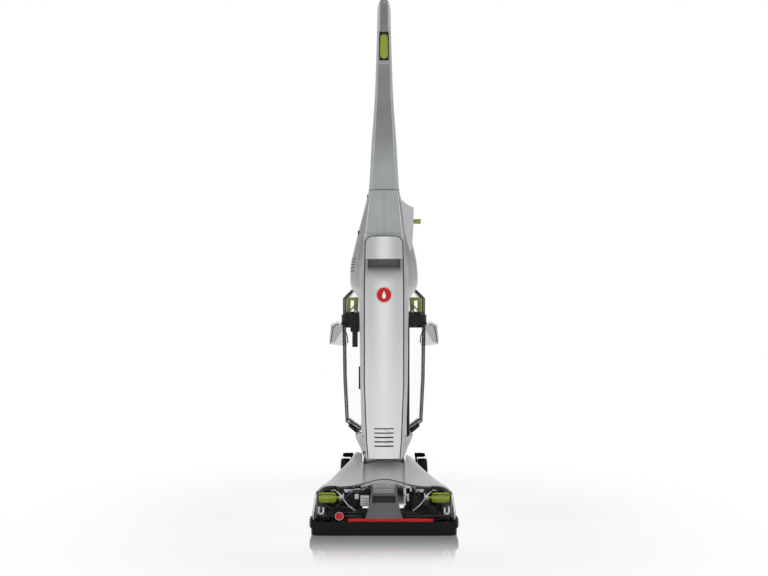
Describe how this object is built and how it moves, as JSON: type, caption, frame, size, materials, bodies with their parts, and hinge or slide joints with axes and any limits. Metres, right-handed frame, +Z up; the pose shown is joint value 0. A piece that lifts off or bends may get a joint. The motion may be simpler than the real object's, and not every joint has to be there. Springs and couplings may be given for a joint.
{
  "type": "wet dry floor scrubber",
  "caption": "Upright wet and dry floor scrubber: wide nozzle with spinning brushes and clear window, tilting body with two tanks, tapered handle with trigger.",
  "frame": {"origin": "on the floor, in the middle of the machine's footprint", "axes": "+Z up, the front faces -Y, +X towards the right side as the picture shows it"},
  "size_m": [0.305, 0.356, 1.143],
  "materials": {
    "silver_plastic": "metallic silver paint on moulded plastic",
    "panel_plastic": "bright metallic silver paint",
    "grey_plastic": "mid grey moulded plastic",
    "black_plastic": "fine textured black moulded plastic",
    "clear_plastic": "clear polycarbonate",
    "smoked_plastic": "smoke tinted polycarbonate",
    "green_plastic": "olive green moulded plastic",
    "red_badge": "glossy red with a bright ring",
    "rubber": "soft black rubber",
    "tyre": "moulded rubber tread",
    "bristle": "nylon bristles in a hard plastic disc",
    "gear_plastic": "natural acetal",
    "steel": "plated steel"
  },
  "bodies": {
    "base": {"base_chassis": "black_plastic", "nozzle_hood": "silver_plastic", "front_bumper": "rubber", "squeegee_holder": "grey_plastic", "squeegee_blade": "rubber", "nozzle_duct": "grey_plastic", "gear_cover": "black_plastic", "brush_plate": "black_plastic", "brush_motor": "steel", "spray_bar": "black_plastic", "wheel_axles": "steel", "pivot_pins": "steel", "base_screws": "steel"},
    "window": {"nozzle_window": "clear_plastic"},
    "latch_left": {"window_latch_left": "green_plastic"},
    "latch_right": {"window_latch_right": "green_plastic"},
    "release": {"release_pedal": "black_plastic"},
    "power": {"power_pedal": "black_plastic"},
    "wheel_left": {"wheel_rim_left": "grey_plastic", "tyre_left": "tyre"},
    "wheel_right": {"wheel_rim_right": "grey_plastic", "tyre_right": "tyre"},
    "roller_left": {"front_roller_left": "grey_plastic"},
    "roller_right": {"front_roller_right": "grey_plastic"},
    "pinion": {"motor_pinion": "gear_plastic"},
    "upright": {"body_shell_left": "silver_plastic", "body_shell_right": "silver_plastic", "front_panel": "panel_plastic", "badge": "red_badge", "suction_motor": "steel", "fan_housing": "black_plastic", "suction_duct": "black_plastic", "solution_tube": "clear_plastic", "neck_bellows": "rubber", "handle_front": "silver_plastic", "handle_rear": "silver_plastic", "trigger_pin": "steel", "cord_hook_lower": "black_plastic", "cord_gland": "rubber", "body_screws": "steel", "solution_valve": "black_plastic"},
    "fan": {"fan_impeller": "gear_plastic"},
    "trigger": {"trigger": "green_plastic"},
    "selector": {"mode_selector": "green_plastic"},
    "hook": {"cord_hook_upper": "black_plastic"},
    "dirty_tank": {"recovery_tank": "clear_plastic", "lid_collar": "black_plastic", "recovery_lid": "clear_plastic", "float_cage": "green_plastic", "inlet_tube": "black_plastic", "tank_grips": "smoked_plastic"},
    "tank_latch": {"tank_latch": "black_plastic"},
    "clean_tank": {"solution_tank": "smoked_plastic"},
    "cap": {"solution_cap": "green_plastic"},
    "brush_1": {"spin_brush_1": "bristle"},
    "brush_2": {"spin_brush_2": "bristle"},
    "brush_3": {"spin_brush_3": "bristle"},
    "brush_4": {"spin_brush_4": "bristle"},
    "brush_5": {"spin_brush_5": "bristle"},
    "brush_6": {"spin_brush_6": "bristle"}
  },
  "joints": [
    {"name": "recline", "type": "hinge", "parent": "base", "child": "upright", "pos_m": [0, 0.05, 0.07], "axis": [-1, 0, 0], "range_deg": [0, 60], "deforming": ["neck_bellows"]},
    {"name": "wheel_left_roll", "type": "hinge", "parent": "base", "child": "wheel_left", "pos_m": [-0.087, 0.121, 0.057], "axis": [1, 0, 0], "continuous": true},
    {"name": "roller_left_roll", "type": "hinge", "parent": "base", "child": "roller_left", "pos_m": [-0.125, -0.153, 0.009], "axis": [1, 0, 0], "continuous": true},
    {"name": "latch_left_turn", "type": "hinge", "parent": "base", "child": "latch_left", "pos_m": [-0.118, -0.104, 0.065], "axis": [1, 0, 0], "range_deg": [0, 75]},
    {"name": "wheel_right_roll", "type": "hinge", "parent": "base", "child": "wheel_right", "pos_m": [0.087, 0.121, 0.057], "axis": [1, 0, 0], "continuous": true},
    {"name": "roller_right_roll", "type": "hinge", "parent": "base", "child": "roller_right", "pos_m": [0.125, -0.153, 0.009], "axis": [1, 0, 0], "continuous": true},
    {"name": "latch_right_turn", "type": "hinge", "parent": "base", "child": "latch_right", "pos_m": [0.118, -0.104, 0.065], "axis": [1, 0, 0], "range_deg": [0, 75]},
    {"name": "window_lift", "type": "slide", "parent": "base", "child": "window", "axis": [0, 0, 1], "range_m": [0, 0.08]},
    {"name": "brush_1_spin", "type": "hinge", "parent": "base", "child": "brush_1", "pos_m": [-0.11, -0.11, 0.014], "axis": [0, 0, 1], "continuous": true},
    {"name": "brush_2_spin", "type": "hinge", "parent": "base", "child": "brush_2", "pos_m": [-0.066, -0.11, 0.014], "axis": [0, 0, 1], "continuous": true},
    {"name": "brush_3_spin", "type": "hinge", "parent": "base", "child": "brush_3", "pos_m": [-0.022, -0.11, 0.014], "axis": [0, 0, 1], "continuous": true},
    {"name": "brush_4_spin", "type": "hinge", "parent": "base", "child": "brush_4", "pos_m": [0.022, -0.11, 0.014], "axis": [0, 0, 1], "continuous": true},
    {"name": "brush_5_spin", "type": "hinge", "parent": "base", "child": "brush_5", "pos_m": [0.066, -0.11, 0.014], "axis": [0, 0, 1], "continuous": true},
    {"name": "brush_6_spin", "type": "hinge", "parent": "base", "child": "brush_6", "pos_m": [0.11, -0.11, 0.014], "axis": [0, 0, 1], "continuous": true},
    {"name": "pinion_spin", "type": "hinge", "parent": "base", "child": "pinion", "pos_m": [0.066, -0.078, 0.03], "axis": [0, 0, 1], "continuous": true},
    {"name": "release_press", "type": "hinge", "parent": "base", "child": "release", "pos_m": [-0.072, 0.093, 0.106], "axis": [-1, 0, 0], "range_deg": [0, 4], "stiffness_Nm_per_rad": 1.5, "springref_deg": -5.73},
    {"name": "power_press", "type": "hinge", "parent": "base", "child": "power", "pos_m": [0.072, 0.093, 0.106], "axis": [-1, 0, 0], "range_deg": [0, 4], "stiffness_Nm_per_rad": 1.5, "springref_deg": -5.73},
    {"name": "fan_spin", "type": "hinge", "parent": "upright", "child": "fan", "pos_m": [0, 0.05, 0.16], "axis": [0, 0, 1], "continuous": true},
    {"name": "trigger_squeeze", "type": "hinge", "parent": "upright", "child": "trigger", "pos_m": [0, -0.012, 1.003], "axis": [-1, 0, 0], "range_deg": [0, 5], "stiffness_Nm_per_rad": 0.5, "springref_deg": -5.73},
    {"name": "selector_turn", "type": "hinge", "parent": "upright", "child": "selector", "pos_m": [0.07, 0, 0.648], "axis": [-1, 0, 0], "range_deg": [0, 60]},
    {"name": "hook_turn", "type": "hinge", "parent": "upright", "child": "hook", "pos_m": [0, 0.011, 0.95], "axis": [0, 1, 0], "range_deg": [0, 180]},
    {"name": "dirty_tank_slide", "type": "slide", "parent": "upright", "child": "dirty_tank", "axis": [0, 1, 0], "range_m": [0, 0.15]},
    {"name": "tank_latch_pull", "type": "hinge", "parent": "dirty_tank", "child": "tank_latch", "pos_m": [0, 0.1435, 0.432], "axis": [-1, 0, 0], "range_deg": [0, 12], "stiffness_Nm_per_rad": 0.3, "springref_deg": -5.73},
    {"name": "clean_tank_slide", "type": "slide", "parent": "upright", "child": "clean_tank", "axis": [0, 1, 0], "range_m": [0, 0.12]},
    {"name": "cap_turn", "type": "hinge", "parent": "clean_tank", "child": "cap", "pos_m": [0, 0.078, 0.672], "axis": [0, 0, 1], "range_deg": [0, 90]}
  ],
  "couplings": [
    {"joint": "brush_2_spin", "follows": "brush_1_spin", "ratio": -1},
    {"joint": "brush_3_spin", "follows": "brush_1_spin", "ratio": 1},
    {"joint": "brush_4_spin", "follows": "brush_1_spin", "ratio": -1},
    {"joint": "brush_5_spin", "follows": "brush_1_spin", "ratio": 1},
    {"joint": "brush_6_spin", "follows": "brush_1_spin", "ratio": -1},
    {"joint": "pinion_spin", "follows": "brush_1_spin", "ratio": -2.2}
  ]
}
